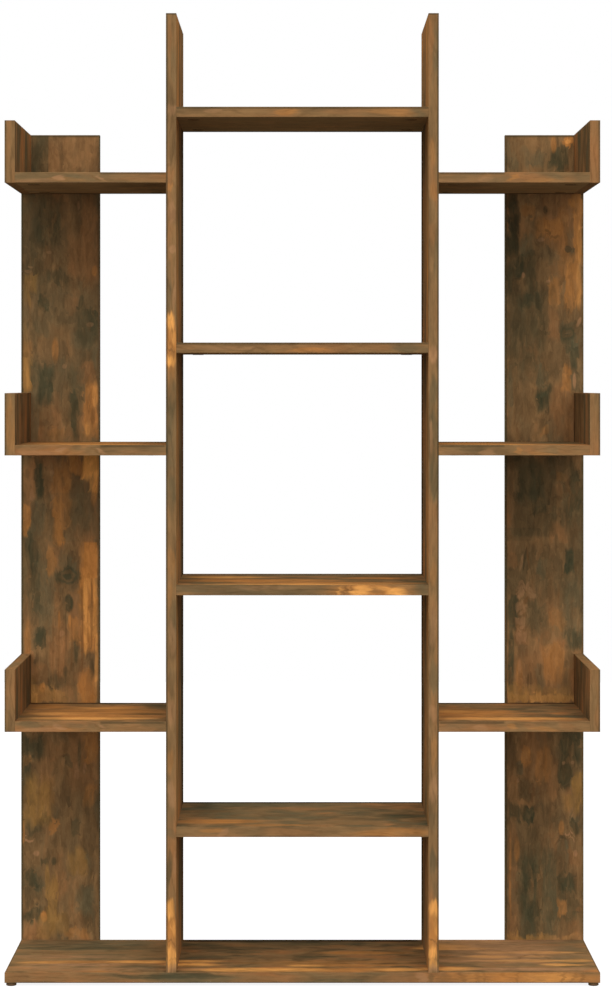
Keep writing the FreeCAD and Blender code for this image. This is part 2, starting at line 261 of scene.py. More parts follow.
def smoked_oak(name, kind, seed, stains=None, fields=(), knots=(), tone=0.5, contrast=1.0):
    """Printed smoked oak. Slow noise, stretched along the grain, picks a colour from soot to
    amber, with the tone as its middle. On it lie marks, listed in millimetres across and
    along the grain: stains are soft ellipses, knots are rings, both ragged because noise shifts
    the place, and fields have straight sides. On posts the small stains are shifted less, and
    the broad ones turn box-like, as their distances are squared and square Voronoi cells shift
    the place in steps. Growth lines are a sine across the grain, and pores are the peaks of a
    very narrow noise."""
    material, shader, place = new_finish(name)
    post = kind == "post"
    depths = POST_DEPTHS if post else DEPTHS

    def layer(at, title, output=0):
        """One of the print's layers, read at that place."""
        cycles, seed_step, octaves = LAYERS[title]
        cycles = OWN_CYCLES.get(kind, {}).get(title, cycles)
        return at.noise(cycles, seed + seed_step, octaves, output)

    geometry = place.add("NewGeometry", {}, {}, "True Normal")
    facing = geometry.parts()
    axes, end_axis = GRAIN_AXES[kind]
    parts = place.parts()
    sides = [parts[axis] for axis in axes]
    end_face = facing[axes[0]].math("ABSOLUTE", facing[axes[0]]).step(0.6, 0.8)
    swap = end_face * (sides[end_axis] - sides[0])
    sides[0] = sides[0] + swap
    sides[end_axis] = sides[end_axis] - swap
    grain = place.add("CombineXYZ", {}, dict(enumerate(sides)))

    drift = layer(grain, "drift", 1)
    drift = drift.vector("SUBTRACT", drift, MIDDLE_GREY)
    drift = drift.vector("MULTIPLY", drift, DRIFT_REACH)
    comb = (layer(grain, "comb") - 0.5) * depths["comb"]
    ragged = grain.vector("ADD", grain, drift)
    ragged = ragged.vector("ADD", ragged, grain.add("CombineXYZ", {}, {0: comb}))
    calm = drift.vector("MULTIPLY_ADD", drift, CALM_SHARE, grain)
    if post:
        cells = grain.vector("MULTIPLY", ragged, CELL_CYCLES)
        cells = cells.add("TexVoronoi", {"distance": "CHEBYCHEV"},
                          {"Vector": cells, "Scale": 1.0}, "Color")
        cells = cells.vector("SUBTRACT", cells, MIDDLE_GREY)
        cells = cells.vector("MULTIPLY", cells, CELL_REACH)
        ragged = ragged.vector("ADD", ragged, cells)

    broad = layer(ragged, "broad")
    middle = layer(ragged, "middle")
    fine = layer(grain, "fine")
    level = tone + contrast * ((broad - 0.5) * 1.3 + (middle - 0.5) * 0.6)
    colour = level.ramp(*GROUND)
    cast = layer(ragged, "cast")
    colour = colour.tinted(cast.step(0.47, 0.28, 0.45), TINTS["smoke"])
    colour = colour.tinted(cast.step(0.54, 0.72, 0.35), TINTS["rust"])
    # Painted light: faces that look down are tinted towards a paler, greyer brown, offsetting the warm
    # bounce light that reaches them.
    if kind == "base":
        under = (0.0 - facing[2]).step(0.5, 0.7, 0.7)
        colour = colour.tinted(under, UNDERSIDE_PAINTED_LIGHT)

    mottle = layer(ragged, "mottle").step(0.30, 0.62, 1.0, 0.55)
    for tint, shade in TINTS.items():
        cover = None
        for across, along, half_across, half_along, strength, *turn in (stains or {}).get(tint, ()):
            small = post and half_across <= SMALL_MARK
            away = off_centre(calm if small else ragged, across, along, half_across, half_along, *turn)
            soft = min(half_across / SOFT_MARK, 1.0)
            if post and not small:
                away = away.vector("MULTIPLY", away, away)
                soft *= BOXY_SOFTNESS
            spot = away.length().step(1.10 + 0.20 * soft, 0.65 - 0.35 * soft, strength)
            cover = spot if cover is None else cover.math("MAXIMUM", cover, spot)
        if cover is not None:
            colour = colour.tinted(cover * mottle, shade)
    for across, along, half_across, half_along, strength in knots:
        far = off_centre(calm, across, along, half_across, half_along).length()
        far = far + (middle - 0.5) * 1.6
        colour = colour.tinted(far.step(1.30, 0.75, strength), TINTS["soot"])
        ring = far.step(0.20, 0.40) * far.step(0.85, 0.60, 0.8 * strength)
        colour = colour.tinted(ring, TINTS["umber"])
    for across, along, half_across, half_along, tint, strength in fields:
        away = off_centre(grain, across, along, half_across, half_along)
        gaps = away.vector("ABSOLUTE", away).parts()
        far = gaps[0].math("MAXIMUM", gaps[0], gaps[1])
        colour = colour.tinted(far.step(1.02, 0.93, strength), TINTS[tint])

    rings = (sides[1] + sides[2]) * RINGS_PER_METRE + broad * 7.0 + sides[0] * 1.3
    rings = rings.math("SINE", rings * FULL_TURN)
    rings = rings.step(0.35, 1.0, depths["rings"]) * cast.step(0.40, 0.62)
    pores = layer(grain, "pores").step(0.58, 0.72, depths["pores"])
    fleck = layer(ragged, "fleck")
    fleck = fleck.step(0.53, 0.61) - fleck.step(0.47, 0.39)
    streaks = (fine - 0.5) * depths["fine"] + (middle - 0.5) * 0.22 + fleck * depths["fleck"]
    light = (1.0 + streaks) * (1.0 - rings) * (1.0 - pores)
    colour = colour.add("VectorMath", {"operation": "SCALE"}, {0: colour, "Scale": light})

    colour.feeds(shader, "Base Color")
    (0.56 + (fine - 0.5) * 0.16 + pores * 0.4).feeds(shader, "Roughness")
    (fine * 0.5 - pores * 2.2 - rings * 0.6).bump(0.30, 0.0006).feeds(shader, "Normal")
    shader.inputs["Specular IOR Level"].default_value = 0.0
    return material


# A stain is (across, along, half across, half along, strength, turn) in millimetres and degrees,
# listed under its ink. A field has its ink before its strength, and a knot has no turn.
BASE_TOP_STAINS = {
    "moss": [(20, -330, 150, 150, 0.45), (20, 330, 130, 150, 0.30)],
    "walnut": [
        (14, -370, 14, 70, 0.7), (12, -260, 12, 50, 0.6), (-104, -320, 14, 110, 0.5),
        (8, -200, 30, 16, 0.5), (-62, 225, 6, 40, 0.5)],
    "umber": [
        (-14, -390, 10, 40, 0.5), (15, -375, 10, 30, 0.5), (75, -390, 22, 50, 0.5),
        (100, -300, 12, 120, 0.4), (60, -60, 40, 170, 0.75), (-20, -30, 10, 70, 0.5),
        (-101, 43, 10, 26, 0.6)],
    "rust": [(-16, 110, 12, 60, 0.9)],
    "smoke": [
        (92, -310, 20, 130, 0.6), (72, -330, 16, 120, 0.8), (44, -320, 12, 130, 0.6),
        (-14, -284, 9, 30, 0.6), (-78, -370, 8, 30, 0.4), (0, -290, 6, 40, 0.5),
        (16, -130, 16, 50, 0.4), (-72, 206, 10, 24, 0.5), (46, 400, 30, 30, 0.8),
        (90, 380, 14, 40, 0.5), (76, 345, 9, 40, 0.5), (-72, 310, 10, 44, 0.6)],
    "soot": [
        (48, -340, 14, 110, 0.6), (78, 40, 14, 120, 0.6), (74, -150, 18, 36, 0.6),
        (80, 160, 20, 40, 0.6), (44, -150, 10, 40, 0.5), (44, -45, 10, 26, 0.6), (-14, 20, 10, 44, 0.6),
        (46, -90, 16, 70, 0.5), (15, -90, 11, 34, 0.6), (70, 290, 9, 40, 0.5), (12, 226, 10, 26, 0.5),
        (-16, 215, 9, 30, 0.6)],
    "amber": [
        (-54, -320, 13, 110, 0.7), (-70, -400, 14, 30, 0.2), (12, 90, 13, 80, 0.75),
        (-54, 60, 13, 120, 0.5), (-66, 20, 10, 60, 0.5), (-76, 60, 10, 130, 0.75),
        (-108, 60, 18, 130, 0.8)],
    "honey": [
        (-56, -390, 12, 40, 0.40), (-52, -236, 12, 50, 0.75), (-48, -160, 12, 44, 0.9),
        (-62, -40, 10, 60, 0.2), (-72, -166, 13, 44, 0.95), (-80, 2, 11, 30, 0.8),
        (-108, -70, 16, 110, 0.95), (-106, 145, 14, 44, 0.75), (102, 300, 14, 60, 0.3),
        (60, 216, 24, 44, 0.65), (44, 208, 14, 44, 0.98), (44, 250, 11, 34, 0.7),
        (15, 340, 10, 84, 0.75), (-14, 280, 12, 40, 0.95), (14, 286, 12, 34, 0.5),
        (-14, 343, 8, 26, 0.5), (-44, 330, 10, 110, 0.6), (-101, 212, 14, 44, 0.9),
        (-44, 400, 14, 30, 0.5), (-72, 380, 11, 36, 0.7)],
    "rose": [
        (-14, -400, 12, 30, 0.4), (-16, -330, 12, 90, 0.5), (-72, -330, 12, 90, 0.7),
        (-92, -380, 12, 50, 0.4), (-104, -300, 16, 120, 0.35), (-104, -160, 12, 30, 0.5),
        (30, 300, 110, 110, 0.7), (100, 310, 20, 110, 0.8), (102, 206, 14, 26, 0.8),
        (-44, 240, 14, 60, 0.8), (-104, 330, 14, 110, 0.85)],
    "line": [
        (-62, -60, 6, 70, 0.4), (-8, 330, 3, 12, 0.6, 40), (-24, 322, 3, 12, 0.5, 60),
        (-8, 352, 3, 12, 0.6, -40), (-24, 362, 3, 12, 0.5, -60), (-28, 342, 3, 8, 0.4)],
    # The dot mark and the ink marks along the rear edge are painted shade, darkening the back of the
    # bays under the shelves.
    "dot": [(102, 0, 22, 186, 0.85)],
    "ink": [(103, -150, 12, 48, 0.55), (103, 130, 12, 66, 0.5)],
}
BASE_FRONT_STAINS = {
    "walnut": [(8, -60, 8, 60, 0.6)],
    "umber": [(10, 60, 8, 70, 0.55), (12, 184, 10, 4, 0.7, 35), (12, 205, 9, 14, 0.5, 30)],
    "rust": [(12, -370, 9, 90, 0.45), (12, 130, 8, 30, 0.4)],
    "smoke": [(10, -150, 7, 70, 0.7), (9, 45, 4, 60, 0.6)],
    "soot": [(15, -200, 4, 110, 0.65)],
    "amber": [(15, 222, 8, 18, 0.6, -30), (12, 320, 12, 130, 0.85)],
    "honey": [(12, 355, 10, 46, 0.35)],
    "rose": [(12, 172, 10, 7, 0.6, 25)],
    "line": [
        (12, 232, 10, 5, 0.4, 12), (12, 252, 10, 4, 0.35, -8), (12, 262, 10, 3, 0.35),
        (12, 309, 10, 3, 0.35, 6), (12, 375, 10, 3.5, 0.45), (12, 390, 10, 3, 0.35),
        (12, 402, 10, 4, 0.45)],
}
# Painted shade: a near-black band along the rear edge of each shelf's top and underside.
REAR_PAINTED_SHADE = [(107, 0, 8, 4000, "ink", 0.8)]
BASE_TOP_FIELDS = [
    (0, -429.2, 130, 1.0, "dot", 0.7),
    (0, 429.2, 130, 1.0, "dot", 0.7),
    # The ink band at the rear edge between the uprights is painted shade.
    (106, 0, 9, 182, "ink", 0.7),
]
BASE_LOWER_LINE = [(5.5, 0, 1.0, 430, "dot", 0.6)]
wear("base_panel",
     smoked_oak("oak_base", "base", 11.0, BASE_TOP_STAINS, BASE_TOP_FIELDS,
                tone=0.58, contrast=0.8))
wear("base_panel_edge_band",
     smoked_oak("oak_base_band", "front", 14.0, BASE_FRONT_STAINS, BASE_LOWER_LINE,
                tone=0.56, contrast=0.8))

# Glides. Four small moulded plastic feet, each nailed up into the base through a recess, which
# keep the panel's edge off a damp floor.
GLIDE_RADIUS = 0.0075
GLIDE_HEIGHT = 0.005
GLIDE_CORNER = 0.0012
GLIDE_ARRIS = 0.0004
RECESS_RADIUS = 0.0035
RECESS_DEPTH = 0.002
NAIL_HOLE_RADIUS = 0.0011


def turned_surface(name, profile, centres, around=64):
    """A closed profile of radius and height carried round a standing axis through each centre:
    x = centre x + r cos a, y = centre y + r sin a, z = h, for a from 0 to a full turn."""
    profile = np.array(profile)
    angle = np.arange(around) * (2 * np.pi / around)
    radius = profile[:, 0][:, None]
    ring = np.stack([radius * np.cos(angle), radius * np.sin(angle),
                     np.repeat(profile[:, 1][:, None], around, 1)], -1)
    rows, columns = np.meshgrid(np.arange(len(profile)), np.arange(around), indexing="ij")
    next_row = (rows + 1) % len(profile)
    next_column = (columns + 1) % around
    faces = np.stack([rows * around + columns, rows * around + next_column,
                      next_row * around + next_column, next_row * around + columns], -1)
    faces = faces.reshape(-1, 4)
    points = np.concatenate([(ring + [x, y, 0.0]).reshape(-1, 3) for x, y in centres])
    faces = np.concatenate([faces + i * ring.size // 3 for i in range(len(centres))])
    mesh = bpy.data.meshes.new(name)
    mesh.from_pydata(points.tolist(), [], faces.tolist())
    mesh.polygons.foreach_set("use_smooth", np.ones(len(faces), bool))
    mesh.update()
    piece = bpy.data.objects.new(name, mesh)
    bpy.context.scene.collection.objects.link(piece)
    return piece


def corner(radius, centre_r, centre_h, start, end, steps=7):
    """Points of a rounded corner: centre + radius (cos t, sin t), with t in degrees."""
    turn = np.radians(np.linspace(start, end, steps))
    return np.stack([centre_r + radius * np.cos(turn), centre_h + radius * np.sin(turn)], -1)


glide_profile = np.concatenate([
    [(NAIL_HOLE_RADIUS, GLIDE_HEIGHT), (NAIL_HOLE_RADIUS, RECESS_DEPTH)],
    [(RECESS_RADIUS - GLIDE_ARRIS, RECESS_DEPTH), (RECESS_RADIUS, RECESS_DEPTH - GLIDE_ARRIS)],
    corner(GLIDE_ARRIS, RECESS_RADIUS + GLIDE_ARRIS, GLIDE_ARRIS, 180, 270),
    corner(GLIDE_CORNER, GLIDE_RADIUS - GLIDE_CORNER, GLIDE_CORNER, 270, 360),
    corner(GLIDE_ARRIS, GLIDE_RADIUS - GLIDE_ARRIS, GLIDE_HEIGHT - GLIDE_ARRIS, 0, 90),
])
glide_nodes = ["foot_front_left", "foot_front_right", "foot_back_left", "foot_back_right"]
glide_centres = []
for node in glide_nodes:
    low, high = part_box(node)
    glide_centres.append(((low.x + high.x) / 2, (low.y + high.y) / 2))
glides = turned_surface("glides", glide_profile, glide_centres)
plastic, shader, place = new_finish("brown_moulded_plastic")
speckle = place.noise((900.0, 900.0, 900.0), 2.0, 3.0)
cloud = place.noise((120.0, 120.0, 120.0), 5.0, 2.0)
plastic_brown = (speckle * 0.5 + cloud * 0.5).ramp(
    (0.3, paint(70, 52, 34)), (0.5, paint(92, 69, 44)), (0.7, paint(108, 82, 52)))
plastic_brown.feeds(shader, "Base Color")
(0.42 + speckle * 0.2).feeds(shader, "Roughness")
speckle.bump(0.2, 0.0001).feeds(shader, "Normal")
shader.inputs["Specular IOR Level"].default_value = 0.12
glides.data.materials.append(plastic)
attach(glides, "root")
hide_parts(*glide_nodes)

# Uprights. Two tall chipboard panels with printed faces and glued edge strips, which stand on the
# base and carry every shelf of the centre stack and the inner ends of the side shelves.


def moved(marks, across, along=0):
    """A table of marks shifted by that much."""
    return {tint: [(mark[0] + across, mark[1] + along, *mark[2:]) for mark in row]
            for tint, row in marks.items()}


def together(*tables):
    """Several tables of marks as one."""
    return {tint: [mark for table in tables for mark in table.get(tint, ())] for tint in TINTS}


# The bright flame of the printed strips, from its lower end up: honey spots in an amber ground,
# crossed by a slanting ring line.
FLARE = {
    "rust": [(-4, 52, 3, 20, 0.5), (3, 30, 4, 4, 0.5)],
    "amber": [(0, 46, 12, 50, 0.92)],
    "honey": [(0, 82, 8, 15, 0.95), (3, 58, 4, 14, 0.45), (-1, 20, 9, 10, 1.0)],
    "line": [(0, 36, 9, 2, 0.65, 22), (1, 66, 2, 12, 0.3)],
}
STRIP_ACROSS = 190
LEFT_UPRIGHT_FRONT = {
    "walnut": [(-188, 1215, 3, 30, 0.5), (-188, 670, 7, 20, 0.5)],
    "rust": [(-192, 1370, 5, 30, 0.5), (-190, 60, 9, 2, 0.5, 22)],
    "smoke": [
        (-186, 1330, 4, 30, 0.5), (-193, 1010, 4, 40, 0.6), (-190, 790, 9, 60, 0.7),
        (-190, 712, 9, 34, 0.65), (-189, 440, 6, 26, 0.35), (-190, 222, 7, 10, 0.5)],
    "soot": [(-190, 848, 9, 30, 0.5), (-193, 170, 4, 26, 0.6)],
    "amber": [
        (-191, 1152, 6, 6, 0.5), (-190, 615, 6, 22, 0.30), (-192, 565, 6, 25, 0.20),
        (-190, 330, 6, 20, 0.30)],
    "honey": [(-190, 32, 9, 11, 0.8)],
    "rose": [
        (-190, 1262, 8, 9, 0.5), (-189, 1115, 6, 18, 0.5), (-188, 1066, 5, 8, 0.7),
        (-184, 1012, 3, 40, 0.4), (-187, 505, 6, 24, 0.35), (-189, 395, 8, 18, 0.35),
        (-190, 280, 6, 24, 0.5), (-185, 175, 4, 20, 0.4), (-190, 24, 12, 8, 0.8)],
}
RIGHT_UPRIGHT_FRONT = {
    "walnut": [(188, 1290, 8, 20, 0.5), (190, 990, 8, 40, 0.5), (188, 640, 7, 40, 0.5)],
    "rust": [(185, 1360, 2, 34, 0.5), (187, 1085, 7, 18, 0.4)],
    "smoke": [
        (191, 1345, 5, 46, 0.65), (192, 1060, 3, 40, 0.4), (190, 860, 8, 34, 0.65),
        (191, 800, 6, 30, 0.6), (190, 730, 8, 40, 0.6), (190, 450, 7, 26, 0.45), (190, 240, 6, 16, 0.4),
        (188, 180, 5, 26, 0.6)],
    "amber": [
        (188, 1205, 7, 30, 0.30), (190, 1150, 7, 16, 0.30), (190, 600, 6, 20, 0.25),
        (190, 335, 6, 20, 0.3), (190, 100, 12, 26, 0.5)],
    "honey": [(190, 32, 9, 11, 0.8)],
    "rose": [
        (190, 917, 9, 14, 0.7), (187, 790, 3, 26, 0.5), (188, 520, 6, 36, 0.35), (188, 395, 7, 16, 0.4),
        (190, 285, 7, 20, 0.5), (190, 24, 12, 8, 0.8)],
}
# Painted light: a faint honey band lightens the uprights' side faces towards their front edge, where the
# front light reaches in.
UPRIGHT_PAINTED_LIGHT = (-104, 700, 60, 40000, 0.22)
LEFT_UPRIGHT_SIDE = {
    "smoke": [(10, 1045, 90, 50, 0.5), (10, 356, 90, 46, 0.65), (10, 125, 90, 46, 0.5)],
    "honey": [UPRIGHT_PAINTED_LIGHT],
}
RIGHT_UPRIGHT_SIDE = {
    "umber": [(10, 702, 90, 50, 0.45)],
    "smoke": [(10, 875, 90, 50, 0.35)],
    "honey": [UPRIGHT_PAINTED_LIGHT],
}
# Painted shade: the uprights' side faces darken towards their rear edge, to near-black at the back.
LEFT_PAINTED_REAR_SHADE = [(48, 640, 19, 630, "dot", 0.6), (91, 640, 24, 630, "ink", 0.72)]
RIGHT_PAINTED_REAR_SHADE = [(44, 640, 17, 630, "dot", 0.2), (88, 640, 27, 630, "ink", 0.80)]
UPRIGHT_RIMS = [(side * 196.0, 712, 1.7, 720, "dot", 0.65) for side in (-1, 1)]
UPRIGHT_RIMS += [(side * STRIP_ACROSS, 1404.0, 9, 1.3, "dot", 0.6) for side in (-1, 1)]
wear("upright_left", smoked_oak(
    "oak_upright_left", "upright", 21.0, LEFT_UPRIGHT_SIDE, LEFT_PAINTED_REAR_SHADE, tone=0.60))
wear("upright_right", smoked_oak(
    "oak_upright_right", "upright", 25.0, RIGHT_UPRIGHT_SIDE, RIGHT_PAINTED_REAR_SHADE, tone=0.60))
wear("upright_left_edge_band", smoked_oak(
    "oak_upright_left_band", "upright_front", 28.0,
    together(LEFT_UPRIGHT_FRONT, moved(FLARE, -STRIP_ACROSS, 878), moved(FLARE, -STRIP_ACROSS, 28)),
    UPRIGHT_RIMS, tone=0.60, contrast=0.55))
wear("upright_right_edge_band", smoked_oak(
    "oak_upright_right_band", "upright_front", 31.0,
    together(RIGHT_UPRIGHT_FRONT, moved(FLARE, STRIP_ACROSS, 28)),
    UPRIGHT_RIMS, tone=0.60, contrast=0.55))

# Base screws and dowels. Long plated screws rise through counterbores in the base into the
# uprights' lower ends, and plain beech dowels beside them stop the uprights turning.


def plated(name, colour, rough, seed):
    """Dull plated metal: cloudy noise and fine scratches vary its colour and gloss a little."""
    material, shader, place = new_finish(name)
    cloud = place.noise((160.0, 160.0, 160.0), seed, 3.0)
    scratch = place.noise((1400.0, 1400.0, 90.0), seed + 4.0, 2.0)
    dark = tuple(0.62 * v for v in colour[:3]) + (1.0,)
    (cloud * 0.6 + scratch * 0.4).ramp((0.25, dark), (0.7, colour)).feeds(shader, "Base Color")
    (rough + scratch * 0.25).feeds(shader, "Roughness")
    scratch.bump(0.2, 0.00005).feeds(shader, "Normal")
    shader.inputs["Metallic"].default_value = 1.0
    return material


plated_steel = plated("plated_steel", paint(205, 200, 190), 0.22, 3.0)
wear("base_screws", plated_steel)
wear("foot_nails", plated_steel)
beech, shader, place = new_finish("plain_beech")
fibre = place.noise((60.0, 900.0, 900.0), 6.0, 3.0)
beech_colour = fibre.ramp(
    (0.3, paint(176, 138, 96)), (0.5, paint(204, 168, 124)), (0.7, paint(219, 187, 146)))
beech_colour.feeds(shader, "Base Color")
(0.5 + fibre * 0.25).feeds(shader, "Roughness")
wear("dowels", beech)

# Cam bolts. Plated bolts that screw into the uprights and upstands; the shelves slide over their
# necks until the cams take hold.
wear("cam_bolts", plated_steel)

# Centre shelves. Four printed chipboard shelves between the uprights, the topmost a tray that the
# uprights run past. Each is held by cams and dowels at both ends.
CENTRE_TOPS = {
    1: {
        "moss": [(0, 0, 150, 200, 0.45), (10, -90, 40, 60, 0.6)],
        "walnut": [(-90, 60, 26, 90, 0.7)],
        "umber": [(20, -150, 20, 40, 0.5), (-50, 70, 14, 60, 0.5)],
        "rust": [(70, 140, 34, 60, 0.6), (40, 20, 18, 60, 0.5)],
        "smoke": [(85, -60, 30, 130, 0.7), (10, 90, 44, 60, 0.4), (0, -60, 20, 60, 0.35)],
        "soot": [(75, -156, 34, 26, 0.65), (-30, 146, 28, 38, 0.7)],
        "amber": [(-80, -122, 26, 70, 0.9), (-112, -40, 12, 60, 0.5)],
    },
    2: {
        "walnut": [(-96, 130, 14, 40, 0.5)],
        "umber": [(98, 0, 34, 240, 0.8)],
        "smoke": [(76, 30, 24, 170, 0.75)],
        "amber": [(-36, -60, 44, 150, 0.85), (-92, 40, 34, 150, 0.85), (14, 110, 26, 70, 0.75)],
        "honey": [(34, -118, 26, 70, 0.75), (-112, -20, 14, 170, 0.7)],
        "line": [(-10, -100, 9, 60, 0.5), (52, 120, 12, 60, 0.7), (-20, 140, 10, 34, 0.5)],
    },
}
CENTRE_FRONTS = {
    1: {
        "walnut": [(224, -150, 6, 40, 0.5), (224, 60, 6, 40, 0.4)],
        "umber": [(223, -85, 6, 12, 0.4), (228, 150, 4, 30, 0.4)],
        "rust": [(222, -20, 6, 50, 0.45)],
        "amber": [(226, -130, 4, 20, 0.4), (222, 130, 7, 60, 0.5)],
        "rose": [(222, -115, 5, 12, 0.5, 30)],
    },
    2: {
        "umber": [(570, -150, 5, 30, 0.4), (572, 164, 7, 5, 0.5)],
        "smoke": [(572, -110, 9, 110, 0.55), (572, -30, 9, 70, 0.4), (574, 175, 8, 10, 0.6)],
        "amber": [(572, 100, 14, 70, 0.85)],
        "honey": [
            (571, 84, 9, 13, 0.95), (572, 138, 8, 17, 0.95), (576, 120, 3, 30, 0.5),
            (572, 54, 8, 4, 0.5, 20)],
        "rose": [(575, -60, 4, 40, 0.25)],
        "line": [
            (572, 63, 9, 3, 0.7, 20), (572, 70, 9, 2, 0.5, 12), (574, 102, 5, 6, 0.35, -15),
            (568, 112, 4, 10, 0.3, 10)],
    },
    3: {
        "walnut": [(920, -60, 6, 40, 0.5)],
        "umber": [(926, -90, 3, 30, 0.4)],
        "rust": [(924, 90, 6, 60, 0.45)],
        "smoke": [(921, 150, 8, 26, 0.5)],
        "amber": [(918, 10, 4, 30, 0.5)],
        "rose": [(922, -110, 4, 50, 0.35)],
    },
    4: {
        "walnut": [(1264, -150, 5, 30, 0.5), (1262, -80, 6, 26, 0.5)],
        "umber": [(1266, 10, 4, 30, 0.3)],
        "rust": [(1264, 60, 6, 40, 0.45)],
        "smoke": [(1262, 165, 8, 16, 0.6)],
        "amber": [(1262, -25, 6, 20, 0.55), (1262, 130, 7, 40, 0.35)],
        "rose": [(1266, -135, 4, 16, 0.4)],
    },
}
CENTRE_UPPER_LINES = {
    3: [(928.2, 0, 1.6, 190, "dot", 0.55)],
    4: [(1268.4, 0, 1.6, 190, "dot", 0.55)],
}
SEED_STEP = 2.3
for number in (1, 2, 3, 4):
    node = f"centre_shelf_{number}"
    wear(node, smoked_oak(f"oak_{node}", "base", 34.0 + SEED_STEP * number,
                          CENTRE_TOPS.get(number), REAR_PAINTED_SHADE))
    wear(node + "_edge_band", smoked_oak(
        f"oak_{node}_band", "front", 44.0 + SEED_STEP * number, CENTRE_FRONTS[number],
        CENTRE_UPPER_LINES.get(number, ()), tone=0.57, contrast=0.5))

# Cam locks and caps. Die-cast zinc cams turn in the shelves' undersides and pull on the bolts;
# thin brown plastic caps press over them.
zinc = plated("cast_zinc", paint(172, 172, 174), 0.35, 8.0)
wear("cam_locks", zinc)
cap_plastic, shader, place = new_finish("brown_cap_plastic")
speckle = place.noise((700.0, 700.0, 700.0), 9.0, 3.0)
speckle.ramp((0.3, paint(103, 79, 50)), (0.7, paint(125, 97, 62))).feeds(shader, "Base Color")
(0.5 + speckle * 0.2).feeds(shader, "Roughness")
shader.inputs["Specular IOR Level"].default_value = 0.0
wear("cam_caps", cap_plastic)

# Side shelves. Three on each side at staggered heights, each running from an upright out to a low
# upstand, over the rear post it is screwed to. Printed chipboard like the rest.
SIDE_TOPS = {
    "left": {
        "walnut": [(90, -360, 12, 50, 0.6)],
        "rust": [(10, -300, 8, 90, 0.5)],
        "soot": [(72, -216, 30, 26, 0.7)],
        "amber": [(60, -380, 40, 40, 0.8), (-20, -300, 100, 110, 0.9)],
        "honey": [(-88, -310, 18, 110, 0.8), (-30, -370, 22, 50, 0.5), (40, -300, 16, 50, 0.4)],
        "line": [(-62, -380, 7, 40, 0.5), (0, -330, 7, 60, 0.5)],
        "dot": [(-34, -232, 12, 46, 0.65)],
    },
    "right": {
        "walnut": [(80, 260, 30, 60, 0.5)],
        "rust": [(66, 320, 28, 50, 0.6)],
        "smoke": [(60, 370, 40, 60, 0.5)],
        "amber": [(-30, 250, 70, 80, 0.9), (-95, 330, 20, 80, 0.65)],
        "honey": [(-92, 290, 20, 110, 0.7), (0, 220, 20, 30, 0.45)],
        "line": [(-60, 230, 7, 30, 0.6)],
        "dot": [(-45, 345, 9, 32, 0.5)],
    },
}
# The third shelf stands above the eye, so that its underside is the face that shows.
SIDE_UNDERS = {
    "left": {
        "walnut": [(-40, -370, 60, 50, 0.5)],
        "rust": [(80, -260, 14, 90, 0.6)],
        "dot": [(-70, -240, 50, 60, 0.3), (30, -230, 20, 40, 0.3)],
    },
    "right": {
        "walnut": [(-20, 360, 70, 60, 0.3)],
        "umber": [(40, 240, 20, 40, 0.3)],
        "rust": [(80, 250, 14, 70, 0.6)],
        "dot": [(-70, 230, 50, 50, 0.25)],
    },
}
SIDE_FRONTS = {
    "left": {
        "walnut": [(2, -262, 6, 22, 0.5)],
        "umber": [(1, -350, 2.5, 5, 0.45), (2, -304, 5, 6, 0.30, 35), (2, -215, 6, 20, 0.25)],
        "rust": [(-3, -240, 4, 34, 0.35)],
        "smoke": [(3, -396, 6, 24, 0.40), (2, -328, 6, 14, 0.38)],
        "amber": [(-3, -340, 4, 30, 0.20)],
        "rose": [(-5, -384, 4, 34, 0.35), (-1, -352, 5, 9, 0.65), (-1, -290, 7, 3, 0.55, 35)],
        "line": [(0, -297, 7, 2, 0.5, 35)],
    },
    "right": {
        "walnut": [(2, 404, 6, 12, 0.4)],
        "umber": [(3, 282, 7, 16, 0.3)],
        "rust": [(1, 330, 5, 10, 0.45), (0, 384, 6, 12, 0.35)],
        "smoke": [(2, 236, 6, 26, 0.32), (2, 362, 6, 12, 0.25)],
        "amber": [(0, 306, 5, 8, 0.40, 30), (-4, 345, 3, 24, 0.3)],
        "rose": [(-4, 215, 5, 26, 0.30), (-3, 262, 4, 12, 0.5)],
    },
}
SIDE_SIGNS = {"left": -1, "right": 1}
SIDE_BAND_SEEDS = {"left": 80.0, "right": 84.0}
side_seed = 60.0
for side, sign in SIDE_SIGNS.items():
    for number in (1, 2, 3):
        node = f"side_shelf_{side}_{number}"
        low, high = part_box(node)
        middle_height = (low.z + high.z) / 2 / MILLIMETRE
        side_seed += SEED_STEP
        marks = SIDE_UNDERS[side] if number == 3 else SIDE_TOPS[side]
        wear(node, smoked_oak(f"oak_{node}", "base", side_seed, marks, REAR_PAINTED_SHADE, tone=0.55))
        wear(node + "_edge_band", smoked_oak(
            f"oak_{node}_band", "front", SIDE_BAND_SEEDS[side],
            moved(SIDE_FRONTS[side], middle_height),
            [(middle_height + 5.9, sign * 245, 1.6, 48, "dot", 0.55)], tone=0.62, contrast=0.5))

# Upstands. Six short printed panels with upright grain, one closing the outer end of each side
# shelf, so that books can't slide off.
UPSTAND_FRONTS = {"amber": [(-422, 812, 9, 46, 0.35)]}
UPSTAND_RIMS = [(side * 428.7, 700, 1.4, 720, "dot", 0.55) for side in (-1, 1)]
for side in SIDE_SIGNS:
    for number in (1, 2, 3):
        node = f"upstand_{side}_{number}"
        side_seed += SEED_STEP
        wear(node, smoked_oak(f"oak_{node}", "upright", side_seed, tone=0.52))
        wear(node + "_edge_band", smoked_oak(
            f"oak_{node}_band", "upright_front", side_seed + 40.0, UPSTAND_FRONTS,
            UPSTAND_RIMS, tone=0.60, contrast=0.4))

# Rear posts. Two broad planks behind the side shelves, screwed to them from behind. Their printed
# oak is the boldest of all, with dark scorched ovals, knots and orange streaks.
POST_CENTRE = 370
POST_RIMS = [
    (-58.6, 627, 1.9, 630, "dot", 0.75), (58.6, 627, 1.9, 630, "dot", 0.40),
    (0, 1248.8, 60, 1.9, "dot", 0.65),
]
